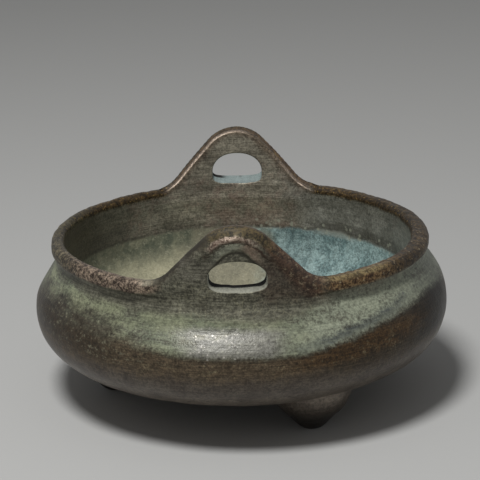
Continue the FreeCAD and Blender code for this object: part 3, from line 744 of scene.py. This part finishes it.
def hole_colour():
    """Inside the finger holes: a pale worn sill, with a black painted shadow at the far end of the hole."""
    far_end = inside * forward + (1 - inside) * backward + eased(abs(x + 1), 4, 8) * forward * 0.2
    # painted shadow of the arch, black at the far end of each hole
    painted_shadow = eased(far_end, 0.55, 0.7) * (forward + backward * near(x, -8, 1.5, 3))
    sill = bright(blend(forward, (132, 144, 142), (160, 160, 146)), 0.86 + speck * 0.26)
    return blend(painted_shadow, sill, (16, 15, 12))


def with_grains(tone):
    """Colour with single grains laid over it: crumbs on the lip and the ears, sand on the crust and the
    floor, painted glints of the highlight where the shoulder is rubbed, pits outside, and crumbs on the
    wall of the bore."""
    crumbs = tone.maths("MAXIMUM", flecks(0.9, 0.2) * lip, chipped * flank * spread)
    tone = blend(crumbs * (0.3 + scabs * 0.4), tone, blend(front_lip, (150, 124, 72), (170, 156, 128)))
    sandy = tone.maths("MAXIMUM", verdigris * (1 - inside), inside * (1 - bore_wall) * (1 - sky))
    tone = blend(flecks(1.1, 0.12, 7.0) * sandy * 0.3, tone, (160, 160, 136))
    # painted highlight: bright glints where the lamp's highlight falls on the shoulder
    painted_glints = flecks(0.8, 0.1, 71.0, 0.5) * rubbed_and_highlight * near(x + fine * 4, -8, 5, 5) * (1 - inside)
    tone = blend(painted_glints * 0.6, tone, (206, 200, 190))
    pits = flecks(1.4, 0.12, 19.0, 0.5) * (1 - inside)
    tone = blend(pits * 0.4, tone, (40, 36, 28))
    bore_crumbs = flecks(1.5, 0.28, 3.0, 0.5) * near(junction, 38.6, 1.2, 1.4) * inside * eased(x, -30, 20)
    return blend(bore_crumbs * 0.7, tone, (150, 152, 136))


metal_colour = blend(lip, blend(inside, outside_colour(), inside_colour()), lip_colour())
crazed = cracks(2.6, 0.09, 9.0) * eased(mixed, 0.44, 0.56) * near(z, 48, 3, 5) * near(x, 2, 16, 12)
metal_colour = blend(crazed * (1 - inside) * 0.3, metal_colour, (150, 146, 120))
metal_colour = blend(bored, with_edges(with_crown(metal_colour)), hole_colour())

dusty = inside * (1 - bore_wall)
dull_crest = outer_ear * (1 - eased(wavy, 1.7, 2.7))
relief = streak * 0.3 + grain * 0.4 + dust * 0.3 + mottle * (0.5 + lip * 0.7)
shade.node("OutputMaterial", sockets={"Surface": shade.node("BsdfPrincipled", sockets={
    "Base Color": with_grains(metal_colour),
    "Roughness": (0.42 + fine * 0.05 + sharp * 0.08 - rubbed_and_highlight * 0.06 + lip * 0.08 + dusty * 0.3
                  + bored * 0.3 + dull_crest * 0.2),
    "Metallic": 0.5 - verdigris * 0.4 - dusty * 0.45 - bored * 0.45 - dull_crest * 0.4,
    "Normal": shade.node("Bump", sockets={"Strength": 0.6, "Distance": 0.35 * METRE, "Height": relief}),
    "Specular IOR Level": 0.38,
    "Coat Weight": (1 - inside) * (1 - eased(z, 19, 28)) * 0.2,
    "Coat Roughness": 0.3})})

places, marks = bowl_sheet()
bowl = mesh_object("bowl_casting", sheet_mesh("bowl_casting", places, marks), patina)
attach(bowl, "root")
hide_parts("bowl_body")

# The ears are two castings alike, each a thick leaning loop with a finger hole, set down into a notch
# of the lip. Their skin runs on from the neck, and their top edges are worn to the metal.
HOLES = {
    # middle and half width across, height of the sill outside and inside, height of the widest line
    # above the sill, and height of the arch above that line outside and inside
    "front": {"middle": -1.0, "half": 8.25, "sill": (51.1, 52.7), "waist": 3.9, "arch": (5.9, 5.5)},
    "back": {"middle": -0.45, "half": 8.55, "sill": (54.9, 53.0), "waist": 3.8, "arch": (6.1, 6.5)},
}
HOLE_ROUND = 0.5
# powers that make the arch a little fuller and the corners of the sill much rounder than an ellipse
ARCH_POWER = 0.92
SILL_POWER = 0.5
# the inner side of the top edge is worn down by this much, over this far below the edge
TOP_FALL = {"front": 0.0, "back": 0.7}
TOP_FALL_OVER = 3.0
EVENING = 0.1
EAR_COLUMNS = {"seat": 91, "side": 15, "top": 201}
EAR_ROWS = {"edge": 9, "face": 42, "hole_edge": 5, "hole": 7, "top": 4}


def hole_outline(hole, face, angle):
    """Outline of a finger hole at angles about its middle: a flat arch over a level sill with round
    corners, each half an ellipse whose sine and cosine are raised to a power."""
    part = np.linspace(0, 2 * np.pi, 721)
    wide, tall = np.cos(part), np.sin(part)
    power = np.where(tall > 0, ARCH_POWER, SILL_POWER)
    across = hole["half"] * np.sign(wide) * np.abs(wide) ** power
    up = np.where(tall > 0, hole["arch"][face], hole["waist"]) * np.sign(tall) * np.abs(tall) ** power
    seen_at = np.arctan2(up, across)
    order = np.argsort(seen_at)
    across, up = [np.interp(angle, seen_at[order], line[order], period=2 * np.pi) for line in (across, up)]
    return np.stack([hole["middle"] + across, hole["sill"][face] + hole["waist"] + up], axis=-1)


def ear_rim(to_turn):
    """Outline of an ear on the wall rolled out flat, as places across and up: along the seat, up the
    right side of the notch, over the top from right to left, and down the left side."""
    half = ARC_RADIUS * NOTCH_TURN
    right_top, left_top = top_edge(to_turn(np.array([half, -half])))
    seat, side, top = EAR_COLUMNS.values()
    arcs = np.linspace(half, -half, top)
    lines = [(np.linspace(-half, half, seat), np.full(seat, SEAT)),
             (np.full(side, half), np.linspace(SEAT, right_top, side)),
             (arcs, top_edge(to_turn(arcs))),
             (np.full(side, -half), np.linspace(left_top, SEAT, side))]
    return np.concatenate([np.stack(line, axis=-1)[:-1] for line in lines])


def ear_face(side, face, rim, to_turn):
    """One face of an ear, outer or inner, as turns, radii, heights and distances below the edge: each
    column is a straight line from a place of the outline to the hole, drawn at nearly even angles so
    that no two columns meet. Its rows stand closer where the face turns in at both ends."""
    hole = HOLES[side]
    ear_round = EAR_INNER_ROUND if face else EAR_OUTER_ROUND[side]
    starts = ear_round * (1 - np.cos(np.linspace(0, np.pi / 2, EAR_ROWS["edge"])))[:, None]
    ends = HOLE_ROUND * (1 - np.cos(np.linspace(0, np.pi / 2, EAR_ROWS["hole_edge"])))[::-1, None]
    middle = np.array([hole["middle"], hole["sill"][face] + hole["waist"]])
    angle = np.unwrap(np.arctan2(rim[:, 1] - middle[1], rim[:, 0] - middle[0]))
    even = angle[0] + np.linspace(0, 2 * np.pi, len(rim), endpoint=False)
    target = hole_outline(hole, face, angle + EVENING * (even - angle))
    reach = np.linalg.norm(target - rim, axis=1)
    first, last = starts[-1], reach - ends[0]
    share = np.linspace(0, 1, EAR_ROWS["face"])[1:-1, None]
    depth = np.vstack([starts + 0 * reach, first + share * (last - first), reach - ends])
    across, up = np.moveaxis(rim + (depth / reach)[..., None] * (target - rim), -1, 0)
    turn = to_turn(across)
    away = below_edge(turn, up)
    hollow = turned_in(reach - depth, HOLE_ROUND)
    radius = inner_face(turn, up, away) + hollow if face else outer_face(turn, up, away) - hollow
    return turn, radius, up, away, face + 0 * up


def ear_sheet(side):
    """One ear as a closed ring of sheet: columns go round its outline, and rows go from the outline over
    the outer face to the hole, through the hole, and back over the inner face to the outline."""
    to_turn = (lambda arc: arc / ARC_RADIUS) if side == "front" else (lambda arc: np.pi - arc / ARC_RADIUS)
    rim = ear_rim(to_turn)
    through = np.linspace(0, 1, EAR_ROWS["hole"])[1:-1, None]
    over = np.linspace(0, 1, EAR_ROWS["top"])[1:-1, None]
    outer, inner = ear_face(side, 0, rim, to_turn), ear_face(side, 1, rim, to_turn)
    turn, radius, height, away, within = [
        np.vstack([out, out[-1:] + through * (back[-1:] - out[-1:]), back[::-1],
                   back[:1] + over * (out[:1] - back[:1])])
        for out, back in zip(outer, inner)]
    worn = within * climb(TOP_FALL_OVER - away, 0, TOP_FALL_OVER) * (height > SEAT + 2)
    bored = np.zeros(turn.shape)
    hole_start = len(outer[0])
    bored[hole_start - 2:hole_start + len(through) + 2] = 1
    marks = {"edge_distance": away, "inside": within, "bored": bored}
    return at_turn(turn, radius, height - TOP_FALL[side] * worn), marks


for side in ("front", "back"):
    places, marks = ear_sheet(side)
    mesh = sheet_mesh(f"{side}_ear_casting", places, marks, along=True)
    ear = mesh_object(f"{side}_ear_casting", mesh, patina)
    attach(ear, "root")
    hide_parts(f"ear_{side}")

# Each ear is held by two rods of the same metal, driven through the neck and filed flush. They lie
# under the patina, so nothing of them shows.
PIN_TURN = np.radians(20.1)
PIN_HEIGHT = 46.2
PIN_RADIUS = 1.0
PIN_COLUMNS = 24
# distance from the bowl's axis and share of the radius, from end to end
PIN_OUTLINE = np.array([(55.5, 0), (55.5, 0.5), (55.55, 0.86), (55.7, 1), (56.6, 1), (57.4, 1),
                        (57.55, 0.86), (57.6, 0.5), (57.6, 0)])


def pin_sheet(turn):
    """A short round rod along a radius of the bowl, with its ends rounded over: columns go round the
    rod, and rows go from the middle of one end to the middle of the other."""
    around = np.linspace(0, 2 * np.pi, PIN_COLUMNS, endpoint=False)[None, :]
    distance, size = PIN_OUTLINE[:, :1], PIN_RADIUS * PIN_OUTLINE[:, 1:]
    sideways = size * np.cos(around)
    return np.stack([distance * np.sin(turn) + sideways * np.cos(turn),
                     -distance * np.cos(turn) + sideways * np.sin(turn),
                     PIN_HEIGHT + size * np.sin(around)], axis=-1)


rod_metal = bpy.data.materials.new("filed_rod")
rod_metal.use_nodes = True
rod_metal.node_tree.nodes.clear()
rod = Shade(rod_metal.node_tree)
filed = rod.node("TexNoise", sockets={"Vector": rod.node("TexCoord", out="Object"), "Scale": 900.0,
                                      "Detail": 3.0})
rod.node("OutputMaterial", sockets={"Surface": rod.node("BsdfPrincipled", sockets={
    "Base Color": blend(filed, (104, 78, 52), (138, 104, 66)),
    "Roughness": 0.3 + filed * 0.3,
    "Metallic": 0.8})})
for side in ("front", "back"):
    for hand, sign in (("left", -1), ("right", 1)):
        turn = sign * PIN_TURN if side == "front" else np.pi - sign * PIN_TURN
        mesh = sheet_mesh(f"{side}_{hand}_pin", pin_sheet(turn), {})
        pin = mesh_object(f"{side}_{hand}_pin", mesh, rod_metal)
        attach(pin, "root")
        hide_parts(f"ear_{side}_pin_{hand}")

# The feet are three small teats on an even tripod, cast by themselves and riveted through the bottom
# of the bowl. Each is worked into the belly so that no joint shows, and worn flat where it stands.
FOOT_CIRCLE = 41.5
FEET = {"back_right": 60, "left": 180, "front_right": 300}
# distance from the foot's axis and height, from the middle of the sole up
TEAT = [(0, 0), (1.7, 0), (3.1, 0.02), (4.46, 1.02), (6.11, 2.89), (8.25, 5.1), (10.48, 7.48),
        (12.22, 11.22), (13, 17)]
FILLET = 3.0
# past the teat the rows go on over the belly's underside to this far out, on a slope steeper than it
SPREAD = (13.1, 19)
SPREAD_RISE = (0.6, 36)
# over these distances the sheet dips into the bowl's wall by this much, and it closes this deep in it
DIP = (11.5, 18)
DIP_HEIGHT = 1.8
CLOSE_DEPTH = 2.4
BELLY_TOP = 30
FOOT_BELOW_EDGE = 40.0
FOOT_COLUMNS = 96
FOOT_ROWS = {"teat": 60, "spread": 14}


def foot_sheet(azimuth):
    """One foot: columns go round its axis, and rows go from the middle of the sole out. The height is
    the smooth least of the teat and of the belly's underside, and past the fillet the sheet dips into
    the bowl's wall and closes there."""
    centre = FOOT_CIRCLE * np.array([np.cos(azimuth), np.sin(azimuth)])
    around = np.linspace(0, 2 * np.pi, FOOT_COLUMNS, endpoint=False)[None, :]
    teat = smooth_through(TEAT, FOOT_ROWS["teat"])
    reach = np.concatenate([teat[:, 0], np.linspace(*SPREAD, FOOT_ROWS["spread"])])[:, None]
    steep = TEAT[-1][1] + np.linspace(*SPREAD_RISE, FOOT_ROWS["spread"])
    steep = np.concatenate([teat[:, 1], steep])[:, None]
    across = centre[0] + reach * np.cos(around)
    along = centre[1] + reach * np.sin(around)
    belly = smooth_through(OUTSIDE, 300)
    belly = belly[belly[:, 1] < BELLY_TOP]
    under = np.interp(np.hypot(across, along), belly[:, 0], belly[:, 1])
    share = np.clip(0.5 + 0.5 * (under - steep) / FILLET, 0, 1)
    height = under + share * (steep - under) - FILLET * share * (1 - share)
    height = height + DIP_HEIGHT * climb(reach, *DIP)
    close = np.array([0.8, 0.4, 0])[:, None]
    inner_end = np.interp(FOOT_CIRCLE, belly[:, 0], belly[:, 1]) + CLOSE_DEPTH
    ends = (*centre, inner_end)
    across, along, height = [np.vstack([line, end + close * (line[-1:] - end)])
                             for line, end in zip((across, along, height), ends)]
    return np.stack([across, along, np.maximum(height, 0)], axis=-1)


for foot_name, degrees in FEET.items():
    places, marks = foot_sheet(np.radians(degrees)), {"edge_distance": FOOT_BELOW_EDGE, "inside": 0.0}
    mesh = sheet_mesh(f"{foot_name}_teat", places, marks)
    foot = mesh_object(f"{foot_name}_teat", mesh, patina)
    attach(foot, "root")
    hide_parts(f"foot_{foot_name}")
